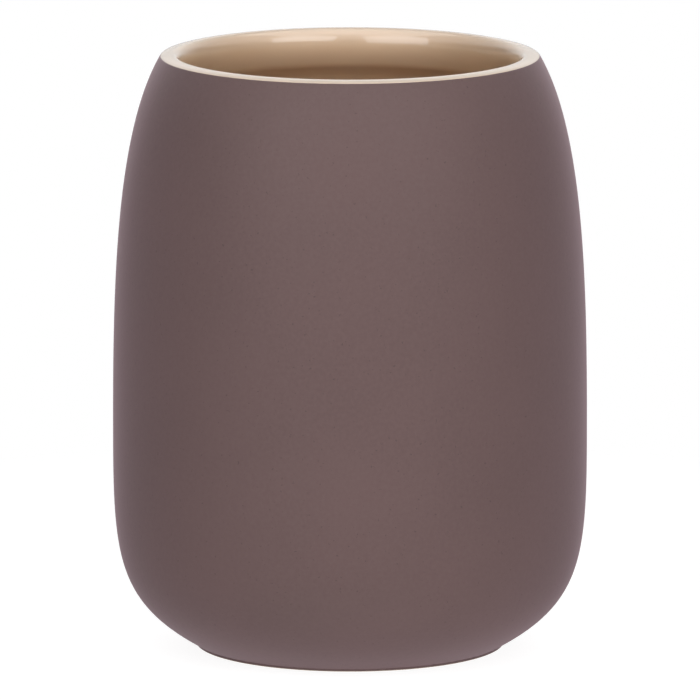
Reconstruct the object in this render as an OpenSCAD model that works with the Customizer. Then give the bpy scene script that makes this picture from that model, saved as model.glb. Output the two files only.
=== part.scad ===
// Tumbler for toothbrushes: a slip-cast stoneware cup with a narrow foot, a full belly and a drawn-in
// mouth. A gloss glaze lines it and rolls over the lip, and a matte glaze coats the outside.
// The origin is the centre of the foot, on the table, and +Z points up through the mouth.
// Every piece is turned about that axis, so each outline here is a half section of (radius, height).

/* [Overall] */
// Height from the table to the top of the lip
overall_h = 110; // [95:0.5:130]
// Diameter at the widest ring
belly_d = 87.4; // [80:0.2:100]
// Height of the widest ring above the table
belly_h = 37.8; // [30:0.2:50]

/* [Foot] */
// Outer diameter of the foot ring
foot_d = 57; // [50:0.5:66]
// Height of the foot ring's upright edge
foot_land_h = 0.5; // [0.4:0.05:1.5]
// Rounding of the foot ring's two edges
foot_round_r = 0.3; // [0.2:0.05:0.4]
// Width of the foot ring
foot_ring_w = 4.2; // [3:0.2:6]
// Depth of the recess inside the foot ring
recess_depth = 1.6; // [1.2:0.1:2.5]
// Rise of the underside where it leaves the foot, in degrees from level
underside_rise = 29; // [20:1:45]

/* [Walls] */
// Thickness of the wall with its glazes, square to its surface
wall_t = 5.7; // [4.7:0.1:6.2]
// Thickness of the floor with its glazes, above the recess
floor_t = 4.4; // [3.5:0.1:7]
// Rounding inside, where the floor turns up into the wall
floor_round_r = 9; // [5:0.5:12]

/* [Lip] */
// Diameter of the line where the two glazes meet, outside the lip
rim_d = 69.6; // [62:0.2:76]
// Drop from the top of the lip to the line where the two glazes meet
rim_drop = 0.4; // [0.3:0.05:0.6]
// Width of the lip's low crown, from that line in to the highest ring
crown_w = 1.6; // [1.2:0.1:2.4]
// Depth to which the lip's roll turns down before it meets the inner wall
roll_depth = 7; // [5:0.25:9]
// Lean of the roll where it meets the inner wall, in degrees from upright
roll_lean = 9; // [4:1:14]

/* [Glazes] */
// Thickness of each glaze
glaze_t = 0.4; // [0.2:0.05:0.6]
// Height to which the foot ring's edges are bare clay
bare_h = 0.12; // [0.05:0.01:0.18]

/* [Colours] */
// Colour of the fired clay
clay_colour = "#D9CDBF"; // [#D9CDBF:Pale clay, #B9A58E:Buff clay]
// Colour of the gloss glaze inside
gloss_colour = "#D2B393"; // [#D2B393:Cream, #EEE8DC:Ivory]
// Colour of the matte glaze outside
matte_colour = "#6F5D5E"; // [#6F5D5E:Taupe, #5E6B63:Sage]

/* [Hidden] */
$fn = 128;

// How far the control points of the wall's two curves reach, as shares of the width and the height that
// the curve covers: the lower curve at the foot and the belly, then the upper one at the belly and the rim
foot_out_share = 0.92;
belly_under_share = 0.6;
belly_over_share = 0.385;
rim_out_share = 0.95;
rim_down_share = 0.2;

// How far the roll's control points reach: at its top as a share of the lip's width inside the crown, and
// at the wall as a share of its depth
roll_top_share = 0.36;
roll_wall_share = 0.5;

// Radius of the cove at the edge of the recess, as a share of its depth
cove_share = 0.5;

// Steps along each curve and each arc, and the halvings of a search
curve_steps = 24;
round_steps = 6;
halvings = 40;

// Directions are angles from the outward radius, turning up
function toward(angle) = [cos(angle), sin(angle)];
function right_of(way) = [way[1], -way[0]] / norm(way);
function angle_of(way) = atan2(way[1], way[0]);

// A cubic curve through its first and last control point, and its direction of travel
function cubic(c, t) =
    pow(1 - t, 3) * c[0] + 3 * pow(1 - t, 2) * t * c[1] + 3 * (1 - t) * t * t * c[2] + pow(t, 3) * c[3];
function cubic_way(c, t) =
    pow(1 - t, 2) * (c[1] - c[0]) + 2 * (1 - t) * t * (c[2] - c[1]) + t * t * (c[3] - c[2]);

// The same curve sunk square to itself, to the left of its travel. The section is travelled up the
// outside, over the lip and down the inside, so its left is always the clay.
function sunk_point(c, t, depth) = cubic(c, t) - depth * right_of(cubic_way(c, t));
function sunk_line(c, depth, start = 0, end = 1) =
    [for (i = [0:curve_steps]) sunk_point(c, start + (end - start) * i / curve_steps, depth)];

// Where along a rising curve its sunk line reaches a height, by halving the stretch that holds the place
function place_at(c, depth, height, low = 0, high = 1, tries = halvings) =
    let (middle = (low + high) / 2)
    tries == 0 ? middle :
    sunk_point(c, middle, depth)[1] > height
        ? place_at(c, depth, height, low, middle, tries - 1)
        : place_at(c, depth, height, middle, high, tries - 1);

// An arc about a centre, from one angle to another
function arc(centre, r, from, to) =
    [for (i = [0:round_steps]) centre + r * toward(from + (to - from) * i / round_steps)];

// Lists without an end point, to join stretches that share it, and in reverse
function but_first(list) = [for (i = [1:len(list) - 1]) list[i]];
function but_last(list) = [for (i = [0:len(list) - 2]) list[i]];
function backward(list) = [for (i = [len(list) - 1:-1:0]) list[i]];

// Outside: the underside swells from the foot to the belly, and the shoulder draws in to the rim
foot_r = foot_d / 2;
belly_r = belly_d / 2;
foot_top = [foot_r, foot_land_h];
belly = [belly_r, belly_h];
rim = [rim_d / 2, overall_h - rim_drop];
underside = [
    foot_top,
    foot_top + foot_out_share * (belly_r - foot_r) / cos(underside_rise) * toward(underside_rise),
    belly - [0, belly_under_share * (belly_h - foot_land_h)],
    belly
];
rim_pull = [rim_out_share * (belly_r - rim[0]), -rim_down_share * (rim[1] - belly_h)];
shoulder = [belly, belly + [0, belly_over_share * (rim[1] - belly_h)], rim + rim_pull, rim];
rim_lean = atan2(rim_pull[0], -rim_pull[1]);

// Lip: a low crown rises from the rim to the highest ring
crown_r = (crown_w * crown_w + rim_drop * rim_drop) / (2 * rim_drop);
crown_slope = 2 * atan(rim_drop / crown_w);
crown_centre = [rim[0] - crown_w, overall_h - crown_r];

// From there a roll turns down, slower and slower, and meets the inner wall in a blunt heel
heel_place = place_at(shoulder, wall_t, overall_h - roll_depth);
heel = sunk_point(shoulder, heel_place, wall_t);
heel_lean = angle_of(cubic_way(shoulder, heel_place)) - 90;
roll_start = [rim[0] - crown_w, overall_h];
roll = [
    roll_start,
    roll_start - [roll_top_share * (wall_t / cos(rim_lean) - crown_w), 0],
    heel + roll_wall_share * roll_depth * toward(90 + roll_lean),
    heel
];
function sunk_heel(depth) =
    heel + depth / cos((heel_lean - roll_lean) / 2) * toward((heel_lean + roll_lean) / 2);

// Inside: the wall runs parallel to the outside down to the floor's rounding, whose centre lies one
// radius above the floor and one radius in from the inner wall
floor_z = recess_depth + floor_t;
floor_end = place_at(underside, wall_t + floor_round_r, floor_z + floor_round_r);
floor_centre = sunk_point(underside, floor_end, wall_t + floor_round_r);
floor_angle = angle_of(right_of(cubic_way(underside, floor_end)));

// Foot ring: a flat face with a rounded edge on each side, and a cove inside it up to the recess
ring_r = foot_r - foot_ring_w;
bare_angle = asin(bare_h / foot_round_r - 1);
outer_edge = [foot_r - foot_round_r, foot_round_r];
inner_edge = [ring_r + foot_round_r, foot_round_r];
cove_r = cove_share * recess_depth;
cove_centre = [ring_r - cove_r, recess_depth - cove_r];

// The faces of the three glazes, each from its start on the section to its end
outer_face = concat(
    arc(outer_edge, foot_round_r, bare_angle, 0),
    sunk_line(underside, 0),
    but_first(sunk_line(shoulder, 0))
);
function inner_line(depth) = concat(
    but_first(arc(crown_centre, crown_r - depth, 90 - crown_slope, 90)),
    but_first(but_last(sunk_line(roll, depth))),
    [sunk_heel(depth)],
    but_first(backward(sunk_line(shoulder, wall_t - depth, 0, heel_place))),
    but_first(backward(sunk_line(underside, wall_t - depth, floor_end))),
    but_first(arc(floor_centre, floor_round_r + depth, floor_angle, -90)),
    [[0, floor_z - depth]]
);
inner_face = concat([rim], inner_line(0));
base_face = concat(
    [[0, recess_depth]],
    arc(cove_centre, cove_r, 90, 0),
    arc(inner_edge, foot_round_r, 180, 180 - bare_angle)
);

// The clay's beds under them. At the rim two beds meet one glaze deep under both faces, and at the foot
// each bed runs out to the edge of the bare clay, where the glaze thins to nothing.
rim_half = (90 - crown_slope - rim_lean) / 2;
rim_bed = rim - glaze_t / cos(rim_half) * toward(rim_lean + rim_half);
outer_bed = concat(
    [outer_face[0]],
    sunk_line(underside, glaze_t),
    but_first(but_last(sunk_line(shoulder, glaze_t))),
    [rim_bed]
);
inner_bed = concat([rim_bed], inner_line(glaze_t));
base_bed = concat(
    [[0, recess_depth + glaze_t]],
    arc(cove_centre, cove_r + glaze_t, 90, 0),
    [base_face[len(base_face) - 1]]
);

// A skin of glaze between its face and its bed
module glaze_skin(face, bed) {
    rotate_extrude() polygon(concat(face, backward(bed)));
}

// The fired clay cup, bare only on the foot ring's face
module stoneware_body() {
    color(clay_colour)
        rotate_extrude()
            polygon(concat(
                but_last(arc(outer_edge, foot_round_r, -90, bare_angle)),
                outer_bed,
                but_first(inner_bed),
                base_bed,
                but_first(arc(inner_edge, foot_round_r, 180 - bare_angle, 270))
            ));
}

// The gloss glaze that lines the cup and rolls over its lip
module inner_glaze() {
    color(gloss_colour) glaze_skin(inner_face, inner_bed);
}

// The matte glaze from the rim down to the foot
module outer_glaze() {
    color(matte_colour) glaze_skin(outer_face, but_first(outer_bed));
}

// The matte glaze in the recess under the floor
module base_glaze() {
    color(matte_colour) glaze_skin(base_face, but_last(base_bed));
}

stoneware_body();
inner_glaze();
outer_glaze();
base_glaze();
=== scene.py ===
"""A stoneware toothbrush tumbler: a clay cup, a gloss glaze inside and a matte glaze outside.

Each piece is turned about the cup's axis from a half section of (radius, height) points. Lengths are in
metres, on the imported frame.
"""

import math

import bmesh
import bpy
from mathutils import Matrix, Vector
from mathutils.geometry import interpolate_bezier


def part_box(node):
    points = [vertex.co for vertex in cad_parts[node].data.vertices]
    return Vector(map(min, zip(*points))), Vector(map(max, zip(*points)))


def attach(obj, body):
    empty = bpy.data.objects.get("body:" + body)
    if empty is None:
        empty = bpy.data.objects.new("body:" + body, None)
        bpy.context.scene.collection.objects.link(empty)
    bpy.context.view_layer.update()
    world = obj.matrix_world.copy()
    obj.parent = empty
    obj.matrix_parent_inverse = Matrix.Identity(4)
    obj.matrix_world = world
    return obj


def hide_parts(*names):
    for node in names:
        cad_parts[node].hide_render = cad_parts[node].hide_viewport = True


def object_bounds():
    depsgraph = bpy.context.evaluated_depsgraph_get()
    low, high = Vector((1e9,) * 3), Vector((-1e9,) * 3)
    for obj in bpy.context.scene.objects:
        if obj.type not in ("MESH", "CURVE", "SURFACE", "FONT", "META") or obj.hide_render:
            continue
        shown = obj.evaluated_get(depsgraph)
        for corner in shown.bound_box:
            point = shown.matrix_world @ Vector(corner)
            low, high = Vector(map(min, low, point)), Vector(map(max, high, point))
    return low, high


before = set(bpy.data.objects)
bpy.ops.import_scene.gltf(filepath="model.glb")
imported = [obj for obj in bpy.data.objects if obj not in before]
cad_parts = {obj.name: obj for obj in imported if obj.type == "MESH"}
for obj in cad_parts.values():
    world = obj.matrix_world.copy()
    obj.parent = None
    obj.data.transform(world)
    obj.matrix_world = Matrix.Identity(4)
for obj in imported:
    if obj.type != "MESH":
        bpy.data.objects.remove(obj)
cad_low, cad_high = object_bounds()

MM = 0.001

# Outside of the cup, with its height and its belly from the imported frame
overall_h = cad_high.z
belly_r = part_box("outer_glaze")[1].x
belly_h = 37.8 * MM
underside_rise = math.radians(29)
rim_r = 34.8 * MM
rim_drop = 0.4 * MM
rim_round = 0.25 * MM

# Foot ring, the recess inside it, and the bare stripe on its face
foot_r = 28.5 * MM
foot_land_h = 0.5 * MM
foot_round_r = 0.3 * MM
foot_ring_w = 4.2 * MM
recess_depth = 1.6 * MM
cove_r = 0.8 * MM
bare_h = 0.12 * MM

# Wall, floor and glazes, and the stretch over which a glaze thins out to nothing
wall_t = 5.7 * MM
floor_t = 4.4 * MM
floor_round_r = 9 * MM
glaze_t = 0.4 * MM
feather_reach = 0.7 * MM

# Lip: a low crown, a roll down inside it, and the blunt heel in which the roll ends
crown_w = 2.1 * MM
roll_reach = 1.8 * MM
roll_depth = 7 * MM
roll_lean = math.radians(9)
heel_w = 0.5 * MM
heel_h = 1.3 * MM
heel_round = 0.5 * MM

# How far the control points of the wall and of the roll reach, as shares of what each curve covers, and
# those of an eased bend, as a share of its reach
foot_out_share = 0.92
belly_under_share = 0.6
belly_over_share = 0.385
rim_out_share = 0.95
rim_down_share = 0.2
roll_wall_share = 0.5
ease_share = 0.6

# Points along each kind of line, the floor's rings as shares of its flat part, and steps of a full turn
CURVE_POINTS = 72
CROWN_POINTS = 17
ROLL_POINTS = 33
FLOOR_ROUND_POINTS = 25
ROUND_POINTS = 9
FLOOR_RINGS = (0.75, 0.5, 0.25, 0)
TURN_STEPS = 192
MERGE_DISTANCE = 0.0005 * MM
SHARP_ANGLE = math.radians(50)

# Heights at which the gloss glaze gets paler on its way to the top of the lip, and how uneven they are
# The paleness is partly thinner glaze over the lip and partly painted light from above on its up-facing top
paler_start = overall_h - 3 * MM
paler_end = overall_h - 1 * MM
palest_start = overall_h - 1.2 * MM
palest_end = overall_h - 0.2 * MM
pale_drift = 0.3 * MM

# The stretch of Blender's noise that holds most of its values
NOISE_LOW = 0.3
NOISE_HIGH = 0.7

# Table: its tone in plain light, and to the eye the tone and glow that keep the cup's shadow near the foot
table_half = 3.0
table_gap = 0.02 * MM
table_tone = 0.8
shadow_tone = 0.3
shadow_glow = 0.9
shadow_near = 0.06
shadow_far = 0.2

# Room: the light that comes off the table, the tones that the gloss sees, and where one turns into the
# next, as how far a direction rises, or turns to the back, on a scale of 1
room_light_below = 0.36
room_gloss_below = 0.5
room_gloss_front = 0.2
room_gloss_back = 0.88
room_gloss_above = 1.2
light_edge = 0.05
gloss_edge = 0.02
back_start = 0.6
back_end = 0.85
above_start = 0.15
above_end = 0.3

# Camera: its distance, how far it looks down, the height on the axis that it aims at, its reach and its lens
view_distance = 2.2103
view_fall = math.radians(9.85)
view_aim_h = 54.75 * MM
view_reach = 20
sensor_width = 36.0
lens = 617.1


# Outlines

def toward(angle):
    """A unit step at an angle from the outward radius, turning up."""
    return Vector((math.cos(angle), math.sin(angle)))


def curve(start, start_pull, end_pull, end, count=CURVE_POINTS):
    """Points of a cubic curve with two pulled control points."""
    return [Vector(p[:2]) for p in interpolate_bezier(start, start_pull, end_pull, end, count)]


def arc(centre, radius, start, end, count=ROUND_POINTS):
    """Points of an arc about a centre, from one angle to another."""
    return [centre + radius * toward(start + (end - start) * i / (count - 1)) for i in range(count)]


def joined(*stretches):
    """The stretches as one line, without the points that two of them share."""
    line = list(stretches[0])
    for stretch in stretches[1:]:
        line += [point for point in stretch if (point - line[-1]).length > MERGE_DISTANCE]
    return line


def ways(line):
    """The direction of travel at each point of a line."""
    padded = [line[0]] + line + [line[-1]]
    return [(after - before).normalized() for before, after in zip(padded, padded[2:])]


def sunk(line, depth):
    """The line sunk square to itself, to the left of its travel, which is the clay's side."""
    return [point + depth * Vector((-way.y, way.x)) for point, way in zip(line, ways(line))]


def softened(line, corner, reach):
    """The line with the bend at one point eased over a reach to each side, and the index of its middle."""
    bend = line[corner]
    before = [p for p in line[:corner] if (p - bend).length > reach]
    after = [p for p in line[corner + 1:] if (p - bend).length > reach]
    start = bend + reach * (before[-1] - bend).normalized()
    end = bend + reach * (after[0] - bend).normalized()
    ease = curve(start, start.lerp(bend, ease_share), end.lerp(bend, ease_share), end, ROUND_POINTS)
    return joined(before, ease, after), len(before) + ROUND_POINTS // 2


def crossing(line, height):
    """Index of the first point of a line that lies above a height."""
    return next(i for i, point in enumerate(line) if point.y > height)


def nearest(line, place):
    """Index of the point of a line that lies nearest to a place."""
    return min(range(len(line)), key=lambda i: (line[i] - place).length)


def bed(face, bare_end):
    """The clay's bed under a glazed face: one glaze deep, and running out to nothing at its bare end."""
    deep = sunk(face, glaze_t)
    shares = [min(1, (point - face[bare_end]).length / feather_reach) for point in face]
    return [point.lerp(sunk_point, share) for point, sunk_point, share in zip(face, deep, shares)]


def skin(face, under):
    """The section of a glaze between its face and its bed."""
    return joined(face, under[::-1])


# The outside, from the foot to the rim
foot_top = Vector((foot_r, foot_land_h))
belly = Vector((belly_r, belly_h))
rim = Vector((rim_r, overall_h - rim_drop))
underside = curve(
    foot_top,
    foot_top + foot_out_share * (belly_r - foot_r) / math.cos(underside_rise) * toward(underside_rise),
    belly - Vector((0, belly_under_share * (belly_h - foot_land_h))),
    belly,
)
rim_pull = Vector((rim_out_share * (belly_r - rim_r), -rim_down_share * (rim.y - belly_h)))
shoulder = curve(belly, belly + Vector((0, belly_over_share * (rim.y - belly_h))), rim + rim_pull, rim)
outside = joined(underside, shoulder)

# The inner wall runs parallel to the outside, and turns into the floor in a rounding
floor_z = recess_depth + floor_t
inner_wall = sunk(outside, wall_t)
floor_centres = sunk(outside, wall_t + floor_round_r)
floor_turn = crossing(floor_centres, floor_z + floor_round_r)
floor_centre = floor_centres[floor_turn]
floor_way = ways(outside)[floor_turn]
floor_angle = math.atan2(-floor_way.x, floor_way.y)
floor_round = arc(floor_centre, floor_round_r, floor_angle, -math.pi / 2, FLOOR_ROUND_POINTS)
floor_middle = [Vector((share * floor_centre.x, floor_z)) for share in FLOOR_RINGS]

# The heel stands in from the inner wall, which carries on a little below it
heel_z = overall_h - roll_depth
over_heel = crossing(inner_wall, heel_z)
wall_below, wall_above = inner_wall[over_heel - 1], inner_wall[over_heel]
wall_at_heel = wall_below.lerp(wall_above, (heel_z - wall_below.y) / (wall_above.y - wall_below.y))
heel = wall_at_heel - Vector((heel_w, 0))
under_heel = crossing(inner_wall, heel_z - heel_h)

# The lip: a low crown up to the highest ring, then the roll down to the heel
crown_r = (crown_w ** 2 + rim_drop ** 2) / (2 * rim_drop)
crown_slope = 2 * math.atan(rim_drop / crown_w)
top = Vector((rim_r - crown_w, overall_h))
crown_centre = top - Vector((0, crown_r))
crown = arc(crown_centre, crown_r, math.pi / 2 - crown_slope, math.pi / 2, CROWN_POINTS)
roll = curve(
    top,
    top - Vector((roll_reach, 0)),
    heel + roll_wall_share * roll_depth * toward(math.pi / 2 + roll_lean),
    heel,
    ROLL_POINTS,
)

# The foot ring, bare between the two lines where the glazes stop
ring_r = foot_r - foot_ring_w
bare_angle = math.asin(bare_h / foot_round_r - 1)
outer_edge = Vector((foot_r - foot_round_r, foot_round_r))
inner_edge = Vector((ring_r + foot_round_r, foot_round_r))
cove_centre = Vector((ring_r - cove_r, recess_depth - cove_r))
bare_outer = arc(outer_edge, foot_round_r, -math.pi / 2, bare_angle)
bare_inner = arc(inner_edge, foot_round_r, math.pi - bare_angle, 3 * math.pi / 2)

# Faces and beds of the glazes: one line from the foot over the lip to the floor's middle, which changes
# from matte to gloss at the rim's colour line, and one in the recess
coat_line = joined(
    arc(outer_edge, foot_round_r, bare_angle, 0),
    outside,
    crown,
    roll,
    inner_wall[floor_turn:under_heel][::-1],
    floor_round,
    floor_middle,
)
coat_line, _ = softened(coat_line, nearest(coat_line, heel), heel_round)
coat, colour_line = softened(coat_line, nearest(coat_line, rim), rim_round)
coat_bed = bed(coat, 0)
base_coat = joined(
    [Vector((0, recess_depth))],
    arc(cove_centre, cove_r, math.pi / 2, 0),
    arc(inner_edge, foot_round_r, math.pi, math.pi - bare_angle),
)
base_bed = bed(base_coat, -1)


# Colours

def linear(red, green, blue):
    """A colour given as a screen shows it, from 0 to 255, as the renderer's linear colour."""
    shares = [channel / 255 for channel in (red, green, blue)]
    return tuple(c / 12.92 if c <= 0.04045 else ((c + 0.055) / 1.055) ** 2.4 for c in shares) + (1.0,)


dusty_taupe = linear(101, 80, 79)
cloudy_taupe = linear(105, 83, 82)
taupe_grain = linear(113, 92, 90)
taupe_pepper = linear(71, 57, 55)
sheen_tint = (1, 0.72, 0.85, 1)

pooled_cream = linear(216, 184, 150)
cream = linear(220, 189, 155)
# Paler creams toward the lip's top: partly thinner glaze, partly painted light on the up-facing lip
thinned_and_toplit_cream = linear(225, 194, 162)
thinnest_and_toplit_cream = linear(230, 200, 169)

pale_clay = linear(214, 200, 184)
buff_clay = linear(203, 187, 169)
clay_grit = linear(128, 104, 84)

white = (1, 1, 1, 1)


# Materials

def new_material(name):
    """An empty material, and its node tree."""
    material = bpy.data.materials.new(name)
    material.use_nodes = True
    material.node_tree.nodes.clear()
    return material, material.node_tree


def add(tree, kind, sockets=None, **settings):
    """A new node with its settings, and with a value or a link on each named or numbered socket."""
    made = tree.nodes.new(kind)
    for name, value in settings.items():
        setattr(made, name, value)
    for name, value in (sockets or {}).items():
        if isinstance(value, bpy.types.NodeSocket):
            tree.links.new(value, made.inputs[name])
        else:
            made.inputs[name].default_value = value
    return made


def surface_place(tree):
    """Where a point of the surface lies on the object."""
    return add(tree, "ShaderNodeTexCoord").outputs["Object"]


def noise(tree, place, per_metre, detail):
    """Soft noise over the surface, with so many features to a metre."""
    sockets = {"Vector": place, "Scale": per_metre, "Detail": detail}
    return add(tree, "ShaderNodeTexNoise", sockets).outputs["Fac"]


def spread(tree, value, low, high, to_low=0.0, to_high=1.0):
    """A value's range from low to high laid over another range, and held at its ends."""
    sockets = {"Value": value, "From Min": low, "From Max": high, "To Min": to_low, "To Max": to_high}
    return add(tree, "ShaderNodeMapRange", sockets, clamp=True).outputs["Result"]


def patches(tree, place, per_metre, detail, to_low=0.0, to_high=1.0):
    """Soft patches over the surface, stretched over a range."""
    return spread(tree, noise(tree, place, per_metre, detail), NOISE_LOW, NOISE_HIGH, to_low, to_high)


def specks(tree, place, per_metre, start, full, strength):
    """Fine specks where the noise is highest, from where they start to where they have their strength."""
    return spread(tree, noise(tree, place, per_metre, detail=1), start, full, 0, strength)


def calculated(tree, operation, first, second):
    """What an operation makes of two values."""
    return add(tree, "ShaderNodeMath", {0: first, 1: second}, operation=operation).outputs[0]


def mixed_values(tree, share, first, second):
    """Two values mixed by a share."""
    return add(tree, "ShaderNodeMix", {0: share, 2: first, 3: second}, data_type="FLOAT").outputs[0]


def mixed_colours(tree, share, first, second):
    """Two colours mixed by a share."""
    return add(tree, "ShaderNodeMix", {0: share, 6: first, 7: second}, data_type="RGBA").outputs[2]


def bump(tree, height, depth):
    """A relief of a real depth."""
    sockets = {"Height": height, "Distance": depth, "Strength": 1.0}
    return add(tree, "ShaderNodeBump", sockets).outputs["Normal"]


def finished(tree, shader):
    """The shader on the material's output."""
    add(tree, "ShaderNodeOutputMaterial", {"Surface": shader.outputs[0]})


def matte_taupe_glaze():
    """Dusty taupe matte glaze: cloudy by a shade, finely peppered, dry to the touch."""
    material, tree = new_material("matte_taupe_glaze")
    place = surface_place(tree)
    clouds = patches(tree, place, per_metre=45, detail=4)
    grain = patches(tree, place, per_metre=1400, detail=2, to_high=0.35)
    pepper = specks(tree, place, per_metre=1900, start=0.70, full=0.78, strength=0.5)
    colour = mixed_colours(tree, clouds, dusty_taupe, cloudy_taupe)
    colour = mixed_colours(tree, grain, colour, taupe_grain)
    colour = mixed_colours(tree, pepper, colour, taupe_pepper)
    finished(tree, add(tree, "ShaderNodeBsdfPrincipled", {
        "Base Color": colour,
        "Roughness": spread(tree, clouds, 0, 1, 0.55, 0.62),
        "Specular IOR Level": 0.28,
        "Sheen Weight": 0.25,
        "Sheen Roughness": 0.5,
        "Sheen Tint": sheen_tint,
        "Normal": bump(tree, noise(tree, place, per_metre=1100, detail=3), 0.012 * MM),
    }))
    return material


def gloss_cream_glaze():
    """Warm cream gloss glaze with soft waves from the kiln, paler toward the lip's top: thinner glaze and
    painted light.
    """
    material, tree = new_material("gloss_cream_glaze")
    place = surface_place(tree)
    pooling = patches(tree, place, per_metre=60, detail=3)
    drift = patches(tree, place, per_metre=90, detail=2, to_low=-pale_drift, to_high=pale_drift)
    height = add(tree, "ShaderNodeSeparateXYZ", {"Vector": place}).outputs["Z"]
    height = calculated(tree, "ADD", height, drift)
    colour = mixed_colours(tree, pooling, pooled_cream, cream)
    # Paler toward the lip's top: thinner glaze there, and painted light from above
    colour = mixed_colours(tree, spread(tree, height, paler_start, paler_end), colour, thinned_and_toplit_cream)
    colour = mixed_colours(tree, spread(tree, height, palest_start, palest_end), colour, thinnest_and_toplit_cream)
    waves = bump(tree, noise(tree, place, per_metre=120, detail=1), 0.03 * MM)
    finished(tree, add(tree, "ShaderNodeBsdfPrincipled", {
        "Base Color": colour,
        "Roughness": 0.42,
        "IOR": 1.6,
        "Normal": waves,
        "Coat Weight": 1.0,
        "Coat Roughness": spread(tree, pooling, 0, 1, 0.03, 0.05),
        "Coat IOR": 1.6,
        "Coat Normal": waves,
    }))
    return material


def bare_fired_clay():
    """Bare stoneware of the foot ring: dry, pale and gritty."""
    material, tree = new_material("bare_fired_clay")
    place = surface_place(tree)
    clouds = patches(tree, place, per_metre=220, detail=4)
    grit = specks(tree, place, per_metre=2200, start=0.66, full=0.74, strength=0.6)
    colour = mixed_colours(tree, clouds, pale_clay, buff_clay)
    colour = mixed_colours(tree, grit, colour, clay_grit)
    finished(tree, add(tree, "ShaderNodeBsdfPrincipled", {
        "Base Color": colour,
        "Roughness": spread(tree, clouds, 0, 1, 0.82, 0.92),
        "Specular IOR Level": 0.3,
        "Normal": bump(tree, noise(tree, place, per_metre=1800, detail=3), 0.02 * MM),
    }))
    return material


# Pieces

def made_object(name, shape, material):
    """A new object at the origin from a finished shape, in its material."""
    mesh = bpy.data.meshes.new(name)
    shape.to_mesh(mesh)
    shape.free()
    mesh.materials.append(material)
    made = bpy.data.objects.new(name, mesh)
    bpy.context.scene.collection.objects.link(made)
    return made


def turned(name, section, ring, material, node):
    """A piece turned from its half section, for its CAD node. A ring's section closes on itself."""
    shape = bmesh.new()
    points = [shape.verts.new((point.x, 0, point.y)) for point in section]
    pairs = list(zip(points, points[1:]))
    if ring:
        pairs.append((points[-1], points[0]))
    edges = [shape.edges.new(pair) for pair in pairs]
    bmesh.ops.spin(
        shape,
        geom=points + edges,
        axis=(0, 0, 1),
        angle=math.tau,
        steps=TURN_STEPS,
        use_merge=True,
    )
    bmesh.ops.remove_doubles(shape, verts=shape.verts, dist=MERGE_DISTANCE)
    bmesh.ops.recalc_face_normals(shape, faces=shape.faces)
    piece = made_object(name, shape, material)
    piece.data.shade_smooth()
    piece.data.set_sharp_from_angle(angle=SHARP_ANGLE)
    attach(piece, "root")
    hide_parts(node)


clay = bare_fired_clay()
matte = matte_taupe_glaze()
gloss = gloss_cream_glaze()

# The cup's and the recess coat's sections start and end on the axis. The lining's runs from the rim to the
# axis and back, and its edge at the rim, against the matte coat, is left open.
cup_section = joined(base_bed, bare_inner, bare_outer, coat_bed)
lining_section = skin(coat[colour_line:], coat_bed[colour_line:])
coat_section = skin(coat[:colour_line + 1], coat_bed[1:colour_line + 1])
recess_section = skin(base_coat, base_bed[:-1])

turned("clay_cup", cup_section, False, clay, "stoneware_body")
turned("gloss_lining", lining_section, False, gloss, "inner_glaze")
turned("matte_coat", coat_section, True, matte, "outer_glaze")
turned("recess_coat", recess_section, False, matte, "base_glaze")


# Table and studio

def seen_by_eye(tree):
    """1 for what the camera sees, straight or in a gloss or clear surface, and 0 for light on its way."""
    path = add(tree, "ShaderNodeLightPath")
    seen = path.outputs["Is Camera Ray"]
    for kind in ("Is Glossy Ray", "Is Transmission Ray"):
        seen = calculated(tree, "MAXIMUM", seen, path.outputs[kind])
    return seen


def diffuse(tree, tone):
    """A plain matte grey."""
    return add(tree, "ShaderNodeBsdfDiffuse", {"Color": (tone, tone, tone, 1)}).outputs[0]


def glow(tree, strength):
    """White light off the surface."""
    return add(tree, "ShaderNodeEmission", {"Color": white, "Strength": strength}).outputs[0]


def white_board():
    """The table's surface: white to the eye, with a faint shadow of the cup near its foot."""
    material, tree = new_material("white_board")
    near = add(tree, "ShaderNodeAddShader", {0: diffuse(tree, shadow_tone), 1: glow(tree, shadow_glow)})
    reach = add(tree, "ShaderNodeVectorMath", {0: surface_place(tree)}, operation="LENGTH").outputs["Value"]
    far = spread(tree, reach, shadow_near, shadow_far)
    seen = add(tree, "ShaderNodeMixShader", {0: far, 1: near.outputs[0], 2: glow(tree, 1)})
    sockets = {0: seen_by_eye(tree), 1: diffuse(tree, table_tone), 2: seen.outputs[0]}
    finished(tree, add(tree, "ShaderNodeMixShader", sockets))
    return material


def table():
    """The table, a hair under the foot. It neither darkens the cup nor shows in its gloss."""
    shape = bmesh.new()
    bmesh.ops.create_grid(shape, x_segments=1, y_segments=1, size=table_half)
    bmesh.ops.translate(shape, vec=(0, 0, -table_gap), verts=shape.verts)
    top_board = made_object("table", shape, white_board())
    top_board.visible_diffuse = False
    top_board.visible_glossy = False
    top_board.visible_shadow = False


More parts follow.
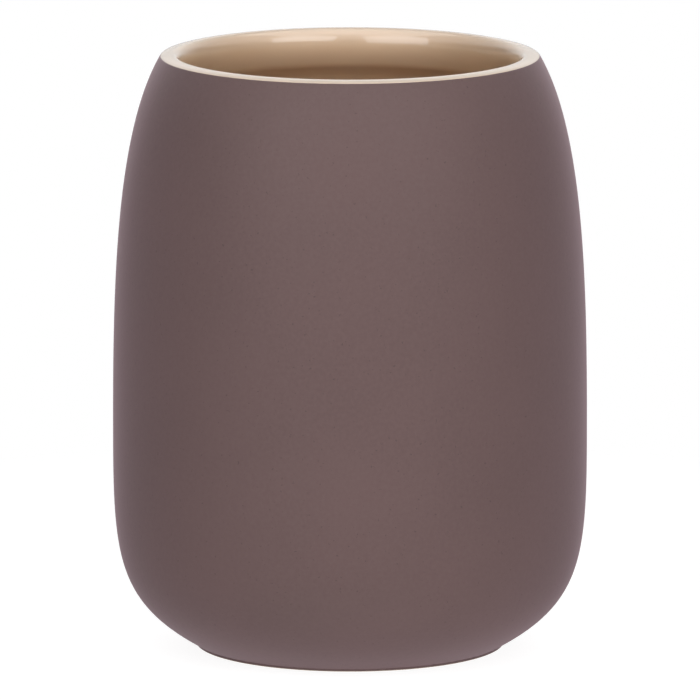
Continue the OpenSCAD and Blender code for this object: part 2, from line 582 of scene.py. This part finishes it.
def pale_room():
    """The room: white to the eye, a soft gradient in the gloss, and in light only what the table gives."""
    world = bpy.data.worlds.new("pale_room")
    world.use_nodes = True
    tree = world.node_tree
    tree.nodes.clear()
    direction = add(tree, "ShaderNodeTexCoord").outputs["Generated"]
    way = add(tree, "ShaderNodeSeparateXYZ", {"Vector": direction})
    rise = way.outputs["Z"]
    light = spread(tree, rise, -light_edge, light_edge, room_light_below, 0)
    level = spread(tree, way.outputs["Y"], back_start, back_end, room_gloss_front, room_gloss_back)
    over = spread(tree, rise, above_start, above_end, level, room_gloss_above)
    in_gloss = spread(tree, rise, -gloss_edge, gloss_edge, room_gloss_below, over)
    path = add(tree, "ShaderNodeLightPath")
    felt = mixed_values(tree, path.outputs["Is Glossy Ray"], light, in_gloss)
    seen = mixed_values(tree, path.outputs["Is Camera Ray"], felt, 1.0)
    room = add(tree, "ShaderNodeBackground", {"Color": white, "Strength": seen})
    add(tree, "ShaderNodeOutputWorld", {"Surface": room.outputs[0]})
    bpy.context.scene.world = world


def softbox(name, azimuth, low, high, distance, width, radiance, glint=False):
    """A softbox that faces the cup, between two heights and at an azimuth to the camera's right, in degrees.

    It lights the cup, or as a glint it only shows in the gloss.
    """
    side = math.radians(azimuth)
    rise = math.radians((low + high) / 2)
    height = 2 * distance * math.tan(math.radians((high - low) / 2))
    light = bpy.data.lights.new(name, "AREA")
    light.shape = "RECTANGLE"
    light.size = width
    light.size_y = height
    light.energy = math.pi * width * height * radiance
    middle = Vector((0, 0, overall_h / 2))
    level = distance * math.cos(rise)
    lamp = bpy.data.objects.new(name, light)
    lamp.location = middle + Vector((
        level * math.sin(side), -level * math.cos(side), distance * math.sin(rise)))
    lamp.rotation_euler = (middle - lamp.location).to_track_quat("-Z", "Y").to_euler()
    lamp.visible_camera = False
    lamp.visible_glossy = glint
    lamp.visible_diffuse = not glint
    bpy.context.scene.collection.objects.link(lamp)


def studio_camera():
    """The camera, level and looking a little down on the cup."""
    camera = bpy.data.cameras.new("camera")
    camera.sensor_width = sensor_width
    camera.lens = lens
    camera.clip_end = view_reach
    eye = bpy.data.objects.new("camera", camera)
    eye.location = (0, -view_distance * math.cos(view_fall),
                    view_aim_h + view_distance * math.sin(view_fall))
    eye.rotation_euler = (math.pi / 2 - view_fall, 0, 0)
    bpy.context.scene.collection.objects.link(eye)
    bpy.context.scene.camera = eye


table()
pale_room()

# No two of them lie in one plane, because there a lamp that the gloss can't see would hide one that it sees
softbox("right_softbox", azimuth=33.5, low=12.5, high=32, distance=1.1, width=0.88, radiance=0.73)
softbox("top_softbox", azimuth=0, low=36, high=70, distance=1.2, width=2.2, radiance=1.7)
softbox("low_softbox", azimuth=8, low=5.6, high=9, distance=1.2, width=2.2, radiance=12.6)
softbox("back_softbox", azimuth=180, low=0, high=30, distance=1.2, width=1.5, radiance=4.4)
softbox("table_bounce", azimuth=0, low=-70, high=-40, distance=0.5, width=0.9, radiance=1.65)
softbox("left_glint", azimuth=-33.5, low=7.5, high=32, distance=1.0, width=0.8, radiance=2.7, glint=True)
softbox("right_glint", azimuth=33.5, low=12.5, high=32, distance=1.0, width=0.8, radiance=2.7, glint=True)
softbox("top_glint", azimuth=0, low=36, high=110, distance=1.2, width=2.2, radiance=1.5, glint=True)

studio_camera()
bpy.context.scene.view_settings.view_transform = "Standard"
